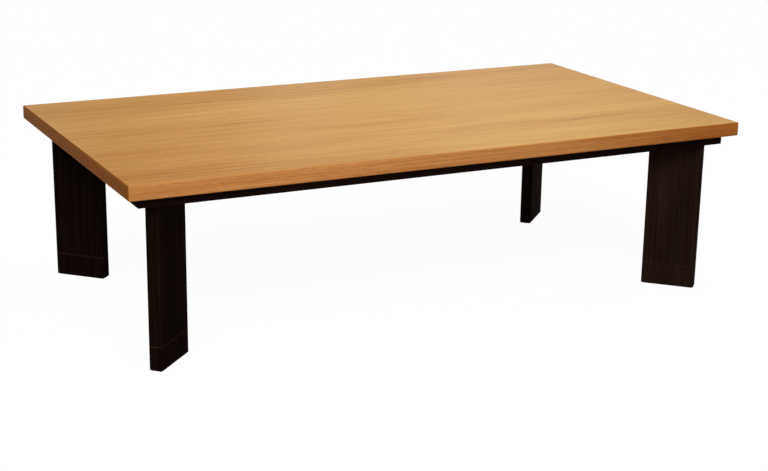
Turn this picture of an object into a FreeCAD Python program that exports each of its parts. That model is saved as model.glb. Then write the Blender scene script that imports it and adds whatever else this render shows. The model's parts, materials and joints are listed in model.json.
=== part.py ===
import FreeCAD, Part
import math
import os
import re
import Sketcher

# A kotatsu table: a loose plate on a flat underframe, four diagonal board legs with pull-off
# extension blocks, and a fan heater under the middle of the frame.
#
# Frame of the part: origin on the floor under the table's middle, +X along the table's length,
# +Y across it to the back, +Z up. Lengths in millimetres, angles in degrees.

SIZES = {
    # plate
    "table_length": 1350,
    "table_depth": 750,
    "plate_thickness": 29,
    "lipping_width": 12,
    "lipping_round": 3,
    # discs that keep the loose plate from sliding
    "disc_radius": 10,
    "disc_thickness": 1,
    "disc_spacing": 450,
    # underframe
    "frame_inset": 25,
    "frame_thickness": 20,
    "rail_width": 60,
    "bar_width": 45,
    "corner_block_side": 120,
    "heater_opening": 300,
    # glued dowels in the underframe
    "dowel_radius": 4,
    "dowel_length": 28,
    "dowel_setback": 11,
    "glue_gap": 0.1,
    # legs and their extension blocks
    "leg_setback_x": 96,
    "leg_setback_y": 84,
    "leg_angle": 45,
    "leg_width": 115,
    "leg_thickness": 27,
    "leg_height": 275,
    "leg_round": 3,
    "extension_height": 48,
    "felt_thickness": 2,
    "felt_margin": 3,
    # pins between leg and extension block
    "pin_radius": 4,
    "pin_spread": 30,
    "pin_in_block": 28,
    "pin_in_leg": 32,
    "pin_end_gap": 2,
    "pin_clearance": 0.05,
    # studs that hold the legs, and their flange nuts
    "stud_radius": 4,
    "stud_in_leg": 36,
    "stud_spread": 34,
    "stud_drop": 1.5,
    "stud_hole_clearance": 0.5,
    "thread_gap": 0.1,
    "nut_recess": 10,
    "nut_recess_radius": 10,
    "nut_across_corners": 14.4,
    "nut_height": 7,
    "nut_flange_radius": 8.5,
    "nut_flange_height": 1.5,
    # heater housing, a folded steel pan with a flange
    "sheet_thickness": 1,
    "housing_clearance": 4,
    "housing_drop": 3,
    "flange_overlap": 20,
    # bezel under the flange
    "bezel_height": 38,
    "bezel_wall": 3,
    "bezel_lip": 12,
    "bezel_lug_side": 24,
    "bezel_lug_thickness": 4,
    # screws through bezel lugs and flange into the cross bars
    "screw_radius": 2,
    "screw_head_radius": 4,
    "screw_head_height": 2.4,
    "screw_in_bar": 14,
    "screw_from_edge": 12,
    "screw_from_corner": 52,
    # wire guard
    "guard_rod_radius": 1.8,
    "guard_wire_radius": 1.1,
    "guard_pitch": 13,
    "guard_brace_pitch": 62,
    "guard_gap": 1,
    "weld_depth": 0.4,
    # reflectors
    "reflector_end_gap": 6,
    "reflector_width": 68,
    "reflector_flat": 36,
    "reflector_depth": 26,
    "reflector_sheet": 0.6,
    # quartz tubes and heating coils
    "tube_length": 240,
    "tube_spacing": 180,
    "tube_radius": 6,
    "tube_wall": 1,
    "tube_drop": 19,
    "coil_overhang": 2,
    "coil_clearance": 0.3,
    # ceramic holders of the tubes
    "holder_thickness": 12,
    "holder_width": 24,
    "holder_height": 28,
    "holder_inset": 8,
    "holder_clearance": 0.2,
    # fan motor
    "motor_radius": 26,
    "motor_height": 26,
    "motor_wall": 1,
    "motor_base": 2,
    "stator_height": 18,
    "stator_bore": 14,
    "seat_clearance": 0.1,
    "rotor_radius": 13.4,
    "rotor_height": 13,
    "rotor_lift": 4,
    "shaft_radius": 2,
    "shaft_length": 41,
    "shaft_end_gap": 3,
    "press_gap": 0.02,
    "bush_radius": 4,
    "bush_height": 4.5,
    "bush_overhang": 1,
    "running_clearance": 0.05,
    # fan wheel
    "fan_radius": 50,
    "fan_hub_radius": 9,
    "fan_hub_height": 12,
    "fan_gap": 4,
    "blade_width": 17,
    "blade_thickness": 1.2,
    "blade_pitch": 30,
    "blade_rise": 6,
    # thermostat and thermal fuse
    "thermostat_x": 82,
    "thermostat_radius": 9,
    "thermostat_height": 6,
    "thermostat_base_length": 32,
    "thermostat_base_width": 14,
    "fuse_x": 112,
    "fuse_radius": 3,
    "fuse_length": 16,
    "fuse_wire_radius": 0.6,
    "fuse_wire_length": 10,
    # terminal block
    "terminal_x": 92,
    "terminal_length": 22,
    "terminal_width": 46,
    "terminal_height": 13,
    "terminal_pitch": 14,
    "terminal_bore_radius": 2,
    "terminal_bore_depth": 6,
    # inlet socket
    "inlet_length": 34,
    "inlet_width": 40,
    "inlet_height": 26,
    "inlet_below_bezel_top": 3,
    "inlet_fit": 0.2,
    "inlet_rim": 4,
    "inlet_rim_thickness": 2,
    "cavity_width": 31,
    "cavity_height": 17,
    "cavity_depth": 17,
    "inlet_pin_radius": 2.5,
    "inlet_pin_spacing": 19,
    "inlet_pin_root_radius": 2,
    "inlet_pin_length": 14,
    "inlet_pin_tail": 5,
    # internal leads
    "lead_radius": 1.2,
    "lead_run": 12,
    "lead_setback": 3,
    # every cut runs this far past the face that it opens
    "overrun": 1,
}

BLADES = 6
# share of a lead's shorter run that each of its bends takes up
BEND_SHARE = 0.45
SIDES = {"front": -1, "back": 1}
ENDS = {"left": -1, "right": 1}
CORNERS = [(f"{side}_{end}", ENDS[end], SIDES[side]) for side in SIDES for end in ENDS]

# places worked out from the sizes
FRAME_X = "(table_length / 2 - frame_inset)"
FRAME_Y = "(table_depth / 2 - frame_inset)"
INNER_X = f"({FRAME_X} - rail_width)"
INNER_Y = f"({FRAME_Y} - rail_width)"
OPENING = "(heater_opening / 2)"
LEG_X = "(table_length / 2 - leg_setback_x)"
LEG_Y = "(table_depth / 2 - leg_setback_y)"
BLOCK_TOP = "(felt_thickness + extension_height)"
LEG_TOP = f"({BLOCK_TOP} + leg_height)"
FRAME_TOP = f"({LEG_TOP} + frame_thickness)"
PLATE_BOTTOM = f"({FRAME_TOP} + disc_thickness)"
DOWEL_Z = f"({LEG_TOP} + frame_thickness / 2)"
FLANGE_HALF = f"({OPENING} + flange_overlap)"
SCREW_X = f"({FLANGE_HALF} - screw_from_edge)"
SCREW_Y = f"({FLANGE_HALF} - screw_from_corner)"
HOUSING_SIDE = "(heater_opening - 2 * housing_clearance)"
HOUSING_TOP = f"({FRAME_TOP} - housing_drop)"
CEILING = f"({HOUSING_TOP} - sheet_thickness)"
BEZEL_TOP = f"({LEG_TOP} - sheet_thickness)"
BEZEL_BOTTOM = f"({BEZEL_TOP} - bezel_height)"
GUARD_Z = f"({BEZEL_BOTTOM} + bezel_wall + guard_rod_radius)"
GUARD_HALF = f"({FLANGE_HALF} - bezel_wall - guard_gap - guard_rod_radius)"
TUBE_Z = f"({CEILING} - tube_drop)"
HOLDER_X = "(tube_length / 2 - holder_inset)"
REFLECTOR_LENGTH = f"(2 * ({HOLDER_X} - holder_thickness / 2 - reflector_end_gap))"
MOTOR_BOTTOM = f"({CEILING} - motor_height)"
MOTOR_FLOOR = f"({MOTOR_BOTTOM} + motor_base)"
MOTOR_ROOF = f"({CEILING} - motor_wall)"
SHAFT_TOP = f"({MOTOR_ROOF} - shaft_end_gap)"
HUB_BOTTOM = f"({MOTOR_BOTTOM} - fan_gap - fan_hub_height)"
INLET_FACE = f"({FLANGE_HALF} + inlet_rim_thickness)"
INLET_Z = f"({BEZEL_TOP} - inlet_below_bezel_top - inlet_height / 2)"
CAVITY_FLOOR = f"({INLET_FACE} - cavity_depth)"

doc = FreeCAD.newDocument("Kotatsu")
sheet = doc.addObject("Spreadsheet::Sheet", "Sizes")
for row, (alias, number) in enumerate(SIZES.items(), start=1):
    sheet.set(f"A{row}", alias)
    sheet.set(f"B{row}", str(number))
    sheet.setAlias(f"B{row}", alias)
doc.recompute()

nodes = []


def bound(text):
    """An expression with each size's name turned into its cell of the sheet."""
    return re.sub(r"[a-z_]+", lambda word: f"Sizes.{word[0]}" if word[0] in SIZES else word[0], text)


def value(text):
    """The present number of an expression."""
    return float(sheet.evalExpression(bound(text)))


def frame_at(place, turn="0", about=(0, 0, 1)):
    """The expression of a placement: a point, and a turn about an axis."""
    x, y, z = place
    return (f"create(<<placement>>; create(<<vector>>; {x}; {y}; {z}); "
            f"create(<<rotation>>; create(<<vector>>; {about[0]}; {about[1]}; {about[2]}); {turn}))")


def put(thing, place, turn="0", about=(0, 0, 1), first=None):
    """Bind an object's placement; `first` is a placement expression applied before it."""
    text = frame_at(place, turn, about)
    if first:
        text = f"{text} * {first}"
    thing.setExpression("Placement", bound(text))
    return thing


def block(label, length, width, height, place, turn="0", about=(0, 0, 1)):
    """A box that stands on the point `place`, centred on it in its own X and Y."""
    thing = doc.addObject("Part::Box", label)
    thing.setExpression("Length", bound(length))
    thing.setExpression("Width", bound(width))
    thing.setExpression("Height", bound(height))
    return put(thing, place, turn, about, frame_at((f"-({length}) / 2", f"-({width}) / 2", "0")))


POINTING = {
    "up": ("0", (0, 0, 1)),
    "down": ("180", (1, 0, 0)),
    "x": ("90", (0, 1, 0)),
    "y": ("-90", (1, 0, 0)),
}


def rod(label, radius, length, place, pointing="up"):
    """A cylinder that starts at `place`."""
    thing = doc.addObject("Part::Cylinder", label)
    thing.setExpression("Radius", bound(radius))
    thing.setExpression("Height", bound(length))
    turn, about = POINTING[pointing]
    return put(thing, place, turn, about)


def centred_rod(label, radius, length, place, pointing):
    """A cylinder with its middle at `place`, along x or y."""
    x, y, z = place
    start = (f"{x} - ({length}) / 2", y, z) if pointing == "x" else (x, f"{y} - ({length}) / 2", z)
    return rod(label, radius, length, start, pointing)


def gathered(label, parts):
    """Several solids as one object."""
    thing = doc.addObject("Part::Compound", label)
    thing.Links = parts
    return thing


def joined(label, parts):
    thing = doc.addObject("Part::MultiFuse", label)
    thing.Shapes = parts
    return thing


def less(label, base, tool):
    thing = doc.addObject("Part::Cut", label)
    thing.Base = base
    thing.Tool = tool
    return thing


def copies(label, master, placements):
    """The same solid at several places, as one object."""
    links = []
    for place, turn in placements:
        link = doc.addObject("App::Link", f"{label}_copy")
        link.LinkedObject = master
        links.append(put(link, place, turn))
    return gathered(label, links)


def node(thing, label):
    """Name a finished sub-part."""
    thing.Label = label
    nodes.append(thing)
    return thing


def origin_plane(body, role):
    return next(plane for plane in body.Origin.OriginFeatures if plane.Role == role)


def new_sketch(body, role, lift="0"):
    """An empty sketch on one of the body's own origin planes, lifted along its normal."""
    sketch = body.newObject("Sketcher::SketchObject", "Outline")
    sketch.AttachmentSupport = [(origin_plane(body, role), "")]
    sketch.MapMode = "FlatFace"
    sketch.setExpression("AttachmentOffset.Base.z", bound(lift))
    return sketch


def pin_down(sketch, geometry, vertex, point):
    """Hold one point of a sketch at two bound distances from the sketch's origin."""
    for kind, text in zip(("DistanceX", "DistanceY"), point):
        held = sketch.addConstraint(Sketcher.Constraint(kind, -1, 1, geometry, vertex, value(text)))
        sketch.setExpression(f"Constraints[{held}]", bound(text))


def draw_polygon(sketch, points):
    """A closed outline through bound points."""
    spots = [FreeCAD.Vector(value(x), value(y), 0) for x, y in points]
    count = len(points)
    for index in range(count):
        sketch.addGeometry(Part.LineSegment(spots[index], spots[(index + 1) % count]), False)
    for index in range(count):
        sketch.addConstraint(Sketcher.Constraint("Coincident", index, 2, (index + 1) % count, 1))
    for index, point in enumerate(points):
        pin_down(sketch, index, 1, point)


def draw_circle(sketch, centre, radius):
    spot = FreeCAD.Vector(value(centre[0]), value(centre[1]), 0)
    circle = sketch.addGeometry(Part.Circle(spot, FreeCAD.Vector(0, 0, 1), value(radius)), False)
    held = sketch.addConstraint(Sketcher.Constraint("Radius", circle, value(radius)))
    sketch.setExpression(f"Constraints[{held}]", bound(radius))
    pin_down(sketch, circle, 3, centre)


def padded(label, points, height, role="XY_Plane"):
    """A body whose first feature is a pad of an outline."""
    body = doc.addObject("PartDesign::Body", label)
    sketch = new_sketch(body, role)
    draw_polygon(sketch, points)
    pad = body.newObject("PartDesign::Pad", "Pad")
    pad.Profile = sketch
    pad.setExpression("Length", bound(height))
    doc.recompute()
    return body


def bored(body, centres, radius, depth, lift, upward=False):
    """Blind round bores from the face at height `lift`, checked to remove at least their squares."""
    sketch = new_sketch(body, "XY_Plane", lift)
    for centre in centres:
        draw_circle(sketch, centre, radius)
    before = body.Shape.Volume
    pocket = body.newObject("PartDesign::Pocket", "Bores")
    pocket.Profile = sketch
    pocket.Reversed = upward
    pocket.setExpression("Length", bound(depth))
    doc.recompute()
    if before - body.Shape.Volume < len(centres) * value(radius) ** 2 * value(depth):
        raise RuntimeError(f"{body.Label}: the bores do not reach into the solid")
    return body


def rounded(body, radius, picks):
    """Fillet the edges for which picks(edge) is true."""
    base = body.Tip
    names = [f"Edge{number}" for number, edge in enumerate(base.Shape.Edges, start=1) if picks(edge)]
    fillet = body.newObject("PartDesign::Fillet", "Rounding")
    fillet.Base = (base, names)
    fillet.setExpression("Radius", bound(radius))
    doc.recompute()
    return body


def runs_along(edge, axis):
    """Whether a straight edge is parallel to a unit axis."""
    straight = edge.Curve.TypeId == "Part::GeomLine"
    return straight and math.isclose(abs(edge.tangentAt(edge.FirstParameter).dot(axis)), 1)


UP = FreeCAD.Vector(0, 0, 1)
ALONG = FreeCAD.Vector(1, 0, 0)
NO_TURN = "0"


def rectangle(length, width):
    """Corner points of a rectangle centred on the origin."""
    half_x = f"({length}) / 2"
    half_y = f"({width}) / 2"
    return [(f"-{half_x}", f"-{half_y}"), (half_x, f"-{half_y}"), (half_x, half_y), (f"-{half_x}", half_y)]


def plate():
    """The removable plate: a panel between four mitred lippings with rounded outer edges."""
    inside_x = "table_length - 2 * lipping_width"
    inside_y = "table_depth - 2 * lipping_width"
    panel = padded("panel", rectangle(inside_x, inside_y), "plate_thickness")
    node(put(panel, ("0", "0", PLATE_BOTTOM)), "top_panel")
    strips = [("front", "table_length", "table_depth", "0"), ("right", "table_depth", "table_length", "90"),
              ("back", "table_length", "table_depth", "180"), ("left", "table_depth", "table_length", "270")]
    for side, length, across, turn in strips:
        half = f"{length} / 2"
        outer = f"-{across} / 2"
        inner = f"-{across} / 2 + lipping_width"
        outline = [(f"-{half}", outer), (half, outer), (f"{half} - lipping_width", inner),
                   (f"-{half} + lipping_width", inner)]
        strip = padded(f"{side}_strip", outline, "plate_thickness")
        middle = strip.Shape.CenterOfMass.y
        rounded(strip, "lipping_round",
                lambda edge: runs_along(edge, ALONG) and edge.CenterOfMass.y < middle)
        node(put(strip, ("0", "0", PLATE_BOTTOM), turn), f"edge_lipping_{side}")


def discs():
    """Thin discs on the underframe that carry the plate."""
    rail_y = f"({FRAME_Y} - rail_width / 2)"
    rail_x = f"({FRAME_X} - rail_width / 2)"
    places = [(f"{step} * disc_spacing", f"{side} * {rail_y}") for step in (-1, 0, 1) for side in (-1, 1)]
    places += [(f"{end} * {rail_x}", "0") for end in (-1, 1)]
    rods = [rod("disc", "disc_radius", "disc_thickness", (x, y, FRAME_TOP)) for x, y in places]
    node(gathered("discs", rods), "plate_discs")


def dowel_pairs():
    """Middle points and directions of the dowels: two at each end of each bar."""
    pairs = []
    for end in (-1, 1):
        for side in (-1, 1):
            for step in (-1, 1):
                rail = f"{end} * ({FRAME_X} - rail_width / 2) + {step} * (rail_width / 2 - dowel_setback)"
                pairs.append((rail, f"{side} * {INNER_Y}", "y"))
                spread = f"{step} * (bar_width / 2 - dowel_setback)"
                cross = f"{end} * ({OPENING} + bar_width / 2) + {spread}"
                pairs.append((cross, f"{side} * {INNER_Y}", "y"))
                pairs.append((f"{end} * {OPENING}", f"{side} * ({OPENING} + bar_width / 2) + {spread}", "x"))
    for end in (-1, 1):
        for step in (-1, 1):
            spread = f"{step} * (bar_width / 2 - dowel_setback)"
            pairs.append((f"{end} * ({OPENING} + bar_width)", spread, "x"))
            pairs.append((f"{end} * {INNER_X}", spread, "x"))
    return pairs


def stud_places():
    """Where the leg studs stand: two to a leg, spread along the leg's diagonal."""
    places = []
    for _, end, side in CORNERS:
        for step in (-1, 1):
            x = f"{end} * ({LEG_X} + {step} * stud_spread * cos(leg_angle))"
            y = f"{side} * ({LEG_Y} + {step} * stud_spread * sin(leg_angle))"
            places.append((x, y))
    return places


def heater_screw_places():
    return [(f"{end} * {SCREW_X}", f"{side} * {SCREW_Y}") for end in (-1, 1) for side in (-1, 1)]


def underframe():
    """Rails, bars and corner blocks, with the bores for dowels, leg studs and heater screws."""
    pairs = dowel_pairs()
    dowels = [centred_rod("dowel", "dowel_radius", "dowel_length", (x, y, DOWEL_Z), way)
              for x, y, way in pairs]
    node(gathered("dowels", dowels), "frame_dowels")
    holes = [centred_rod("dowel_hole", "dowel_radius + glue_gap", "dowel_length + 2 * glue_gap",
                         (x, y, DOWEL_Z), way) for x, y, way in pairs]
    for x, y in stud_places():
        below = f"{LEG_TOP} - overrun"
        holes.append(rod("stud_hole", "stud_radius + stud_hole_clearance", "frame_thickness + overrun",
                         (x, y, below)))
        recess = f"{FRAME_TOP} - nut_recess"
        holes.append(rod("nut_recess", "nut_recess_radius", "nut_recess + overrun", (x, y, recess)))
    for x, y in heater_screw_places():
        depth = "screw_in_bar + glue_gap + overrun"
        holes.append(rod("screw_hole", "screw_radius + glue_gap", depth, (x, y, f"{LEG_TOP} - overrun")))
    bores = joined("bores", holes)

    def bar(label, length, width, x, y):
        stock = padded(f"{label}_stock", rectangle(length, width), "frame_thickness")
        put(stock, (x, y, LEG_TOP))
        node(less(label, stock, bores), label)

    for side, sign in SIDES.items():
        rail_y = f"{sign} * ({FRAME_Y} - rail_width / 2)"
        bar(f"long_rail_{side}", f"2 * {FRAME_X}", "rail_width", "0", rail_y)
        bar_y = f"{sign} * ({OPENING} + bar_width / 2)"
        bar(f"heater_bar_{side}", "heater_opening", "bar_width", "0", bar_y)
    for end, sign in ENDS.items():
        rail_x = f"{sign} * ({FRAME_X} - rail_width / 2)"
        bar(f"end_rail_{end}", "rail_width", f"2 * {INNER_Y}", rail_x, "0")
        bar_x = f"{sign} * ({OPENING} + bar_width / 2)"
        bar(f"cross_bar_{end}", "bar_width", f"2 * {INNER_Y}", bar_x, "0")
        tie = f"({INNER_X} - {OPENING} - bar_width)"
        bar(f"tie_bar_{end}", tie, "bar_width", f"{sign} * ({INNER_X} - {tie} / 2)", "0")
    for corner, end, side in CORNERS:
        x = f"{end} * {INNER_X}"
        y = f"{side} * {INNER_Y}"
        outline = [(x, y), (f"{x} - {end} * corner_block_side", y),
                   (x, f"{y} - {side} * corner_block_side")]
        stock = padded("corner_stock", outline, "frame_thickness")
        put(stock, ("0", "0", LEG_TOP))
        node(less("corner", stock, bores), f"corner_block_{corner}")


def leg_hardware():
    """Studs from the legs through the frame, and the flange nuts in their recesses."""
    studs = []
    for x, y in stud_places():
        length = "stud_in_leg + frame_thickness - stud_drop"
        studs.append(rod("stud", "stud_radius", length, (x, y, f"{LEG_TOP} - stud_in_leg")))
    node(gathered("studs", studs), "leg_studs")
    hexagon = doc.addObject("Part::Prism", "nut_hexagon")
    hexagon.Polygon = 6
    hexagon.setExpression("Circumradius", bound("nut_across_corners / 2"))
    hexagon.setExpression("Height", bound("nut_height"))
    flange = rod("nut_flange", "nut_flange_radius", "nut_flange_height", ("0", "0", "0"))
    bore = rod("nut_bore", "stud_radius + thread_gap", "nut_height + 2 * overrun", ("0", "0", "-overrun"))
    nut = less("nut", joined("nut_body", [hexagon, flange]), bore)
    seat = f"{FRAME_TOP} - nut_recess"
    node(copies("nuts", nut, [((x, y, seat), NO_TURN) for x, y in stud_places()]), "leg_nuts")


def legs():
    """Four diagonal boards, each with an extension block on two pins and a felt under it."""
    along = [("pin_spread", "0"), ("-pin_spread", "0")]
    studs = [("stud_spread", "0"), ("-stud_spread", "0")]
    for corner, end, side in CORNERS:
        turn = f"{end * side} * leg_angle"
        x = f"{end} * {LEG_X}"
        y = f"{side} * {LEG_Y}"
        leg = padded("leg", rectangle("leg_width", "leg_thickness"), "leg_height")
        rounded(leg, "leg_round", lambda edge: runs_along(edge, UP))
        bored(leg, studs, "stud_radius + thread_gap", "stud_in_leg + glue_gap", "leg_height")
        bored(leg, along, "pin_radius + pin_clearance", "pin_in_leg + pin_end_gap", "0", upward=True)
        node(put(leg, (x, y, BLOCK_TOP), turn), f"leg_{corner}")
        foot = padded("extension", rectangle("leg_width", "leg_thickness"), "extension_height")
        rounded(foot, "leg_round", lambda edge: runs_along(edge, UP))
        bored(foot, along, "pin_radius + press_gap", "pin_in_block", "extension_height")
        node(put(foot, (x, y, "felt_thickness"), turn), f"extension_{corner}")
        pins = []
        for step in (-1, 1):
            pin = doc.addObject("Part::Cylinder", "pin")
            pin.setExpression("Radius", bound("pin_radius"))
            pin.setExpression("Height", bound("pin_in_block + pin_in_leg"))
            spread = frame_at((f"{step} * pin_spread", "0", "0"))
            put(pin, (x, y, f"{BLOCK_TOP} - pin_in_block"), turn, first=spread)
            pins.append(pin)
        node(gathered("pins", pins), f"extension_pins_{corner}")
        felt_length = "leg_width - 2 * felt_margin"
        felt_width = "leg_thickness - 2 * felt_margin"
        felt = block("felt", felt_length, felt_width, "felt_thickness", (x, y, "0"), turn)
        node(felt, f"foot_felt_{corner}")


def heater_case():
    """The steel housing, the bezel screwed up under it, and the fixing screws."""
    flange_side = f"(2 * {FLANGE_HALF})"
    under = f"{BEZEL_TOP} - overrun"
    pan = block("pan", HOUSING_SIDE, HOUSING_SIDE, f"{HOUSING_TOP} - {BEZEL_TOP}", ("0", "0", BEZEL_TOP))
    flange = block("flange", flange_side, flange_side, "sheet_thickness", ("0", "0", BEZEL_TOP))
    inside = f"{HOUSING_SIDE} - 2 * sheet_thickness"
    hollow = block("hollow", inside, inside, f"{CEILING} - ({under})", ("0", "0", under))
    hole = "screw_radius + glue_gap"
    holes = [rod("flange_hole", hole, "sheet_thickness + 2 * overrun", (x, y, under))
             for x, y in heater_screw_places()]
    pressing = joined("pressing", [pan, flange])
    node(less("housing", pressing, gathered("pan_cuts", [hollow] + holes)), "heater_housing")

    outer = block("bezel_outer", flange_side, flange_side, "bezel_height", ("0", "0", BEZEL_BOTTOM))
    room_side = f"({flange_side} - 2 * bezel_wall)"
    lip_top = f"{BEZEL_BOTTOM} + bezel_wall"
    room = block("bezel_room", room_side, room_side, "bezel_height", ("0", "0", lip_top))
    mouth_side = f"{room_side} - 2 * bezel_lip"
    mouth = block("bezel_mouth", mouth_side, mouth_side, "bezel_wall + 2 * overrun",
                  ("0", "0", f"{BEZEL_BOTTOM} - overrun"))
    ring = less("bezel_ring", outer, joined("bezel_space", [room, mouth]))
    lug_z = f"{BEZEL_TOP} - bezel_lug_thickness"
    lug_x = f"({FLANGE_HALF} - bezel_wall / 2 - bezel_lug_side / 2)"
    lugs = [block("lug", "bezel_lug_side", "bezel_lug_side", "bezel_lug_thickness",
                  (f"{end} * {lug_x}", f"{side} * {SCREW_Y}", lug_z)) for end in (-1, 1) for side in (-1, 1)]
    cuts = [rod("lug_hole", hole, "bezel_lug_thickness + 2 * overrun", (x, y, f"{lug_z} - overrun"))
            for x, y in heater_screw_places()]
    window_z = f"{INLET_Z} - inlet_height / 2 - inlet_fit"
    cuts.append(block("inlet_window", "bezel_wall + 2 * overrun", "inlet_width + 2 * inlet_fit",
                      "inlet_height + 2 * inlet_fit", (f"{FLANGE_HALF} - bezel_wall / 2", "0", window_z)))
    node(less("bezel", joined("bezel_body", [ring] + lugs), gathered("bezel_cuts", cuts)), "heater_bezel")

    head = rod("screw_head", "screw_head_radius", "screw_head_height", ("0", "0", "-screw_head_height"))
    grip = "bezel_lug_thickness + sheet_thickness"
    shank = rod("screw_shank", "screw_radius", f"{grip} + screw_in_bar", ("0", "0", "0"))
    places = [((x, y, lug_z), NO_TURN) for x, y in heater_screw_places()]
    node(copies("screws", joined("screw", [head, shank]), places), "heater_screws")


def guard():
    """Welded wire guard: a square rod frame, wires along X and braces along Y lying on them."""
    side = f"2 * {GUARD_HALF}"
    rim = f"{side} + 2 * guard_rod_radius"
    rods = []
    for step in (-1, 1):
        edge = f"{step} * {GUARD_HALF}"
        rods.append(centred_rod("guard_rod", "guard_rod_radius", rim, ("0", edge, GUARD_Z), "x"))
        rods.append(centred_rod("guard_rod", "guard_rod_radius", rim, (edge, "0", GUARD_Z), "y"))
    wires = int(value(f"{GUARD_HALF} / guard_pitch"))
    for step in range(-wires, wires + 1):
        y = f"{step} * guard_pitch"
        rods.append(centred_rod("guard_wire", "guard_wire_radius", side, ("0", y, GUARD_Z), "x"))
    braces = int(value(f"{GUARD_HALF} / guard_brace_pitch"))
    above = f"{GUARD_Z} + 2 * guard_wire_radius - weld_depth"
    for step in range(-braces, braces + 1):
        x = f"{step} * guard_brace_pitch"
        rods.append(centred_rod("guard_brace", "guard_wire_radius", side, (x, "0", above), "y"))
    node(joined("guard", rods), "wire_guard")


def heating():
    """Reflectors, quartz tubes, heating coils and the ceramic holders."""
    half = "(reflector_width / 2)"
    flat = "(reflector_flat / 2)"
    low = "-reflector_depth"
    below = f"{low} - reflector_sheet"
    outline = [(f"-{half}", low), (f"-{flat}", "0"), (flat, "0"), (half, low), (half, below),
               (flat, "-reflector_sheet"), (f"-{flat}", "-reflector_sheet"), (f"-{half}", below)]
    bore_length = "tube_length + 2 * overrun"
    tubes, coils, holders = [], [], []
    for side, sign in SIDES.items():
        y = f"{sign} * tube_spacing / 2"
        trough = padded("trough", outline, REFLECTOR_LENGTH)
        start = (f"-{REFLECTOR_LENGTH} / 2", y, CEILING)
        node(put(trough, start, "120", (1, 1, 1)), f"reflector_{side}")
        tube = centred_rod("tube_outside", "tube_radius", "tube_length", ("0", y, TUBE_Z), "x")
        bore = centred_rod("tube_bore", "tube_radius - tube_wall", bore_length, ("0", y, TUBE_Z), "x")
        tubes.append(less("tube", tube, bore))
        coils.append(centred_rod("coil", "tube_radius - tube_wall - coil_clearance",
                                 "tube_length + 2 * coil_overhang", ("0", y, TUBE_Z), "x"))
        for end in (-1, 1):
            x = f"{end} * {HOLDER_X}"
            body = block("holder_body", "holder_thickness", "holder_width", "holder_height",
                         (x, y, f"{CEILING} - holder_height"))
            seat = centred_rod("holder_seat", "tube_radius + holder_clearance",
                               "holder_thickness + 2 * overrun", (x, y, TUBE_Z), "x")
            holders.append(less("holder", body, seat))
    node(gathered("tubes", tubes), "quartz_tubes")
    node(gathered("coils", coils), "heating_coils")
    node(gathered("holders", holders), "tube_holders")


def motor():
    """The fan motor: can with stator and bushes; rotor, shaft and fan wheel turn in it."""
    can = rod("can_outside", "motor_radius", "motor_height", ("0", "0", MOTOR_BOTTOM))
    room = rod("can_room", "motor_radius - motor_wall", "motor_height - motor_base - motor_wall",
               ("0", "0", MOTOR_FLOOR))
    hole = rod("can_hole", "bush_radius + press_gap", "motor_base + 2 * overrun",
               ("0", "0", f"{MOTOR_BOTTOM} - overrun"))
    node(less("can", can, joined("can_space", [room, hole])), "motor_can")
    ring_radius = "motor_radius - motor_wall - seat_clearance"
    ring = rod("stator_ring", ring_radius, "stator_height", ("0", "0", MOTOR_FLOOR))
    bore = rod("stator_hole", "stator_bore", "stator_height + 2 * overrun",
               ("0", "0", f"{MOTOR_FLOOR} - overrun"))
    node(less("stator", ring, bore), "motor_stator")
    bushes = []
    for z in (f"{MOTOR_ROOF} - bush_height", f"{MOTOR_BOTTOM} - bush_overhang"):
        outside = rod("bush_outside", "bush_radius", "bush_height", ("0", "0", z))
        inside = rod("bush_bore", "shaft_radius + running_clearance", "bush_height + 2 * overrun",
                     ("0", "0", f"{z} - overrun"))
        bushes.append(less("bush", outside, inside))
    node(gathered("bushes", bushes), "motor_bushes")

    shaft = rod("shaft", "shaft_radius", "shaft_length", ("0", "0", f"{SHAFT_TOP} - shaft_length"))
    node(shaft, "motor_shaft")
    core_z = f"{MOTOR_FLOOR} + rotor_lift"
    core = rod("rotor_core", "rotor_radius", "rotor_height", ("0", "0", core_z))
    core_bore = rod("rotor_bore", "shaft_radius + press_gap", "rotor_height + 2 * overrun",
                    ("0", "0", f"{core_z} - overrun"))
    node(less("rotor", core, core_bore), "motor_rotor")

    hub = rod("hub", "fan_hub_radius", "fan_hub_height", ("0", "0", HUB_BOTTOM))
    middle = f"{HUB_BOTTOM} + blade_rise"
    blades = []
    reach = "(fan_radius - fan_hub_radius / 2)"
    for index in range(BLADES):
        blade = doc.addObject("Part::Box", "blade")
        blade.setExpression("Length", bound(reach))
        blade.setExpression("Width", bound("blade_width"))
        blade.setExpression("Height", bound("blade_thickness"))
        tilt = frame_at(("fan_hub_radius / 2", "0", "0"), "blade_pitch", (1, 0, 0))
        seat = frame_at(("0", "-blade_width / 2", "-blade_thickness / 2"))
        turn = f"{index} * 360 / {BLADES}"
        blades.append(put(blade, ("0", "0", middle), turn, first=f"{tilt} * {seat}"))
    hub_bore = rod("hub_bore", "shaft_radius + press_gap", "fan_hub_height + 2 * overrun",
                   ("0", "0", f"{HUB_BOTTOM} - overrun"))
    node(less("fan", joined("fan_body", [hub] + blades), hub_bore), "fan_wheel")


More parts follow.
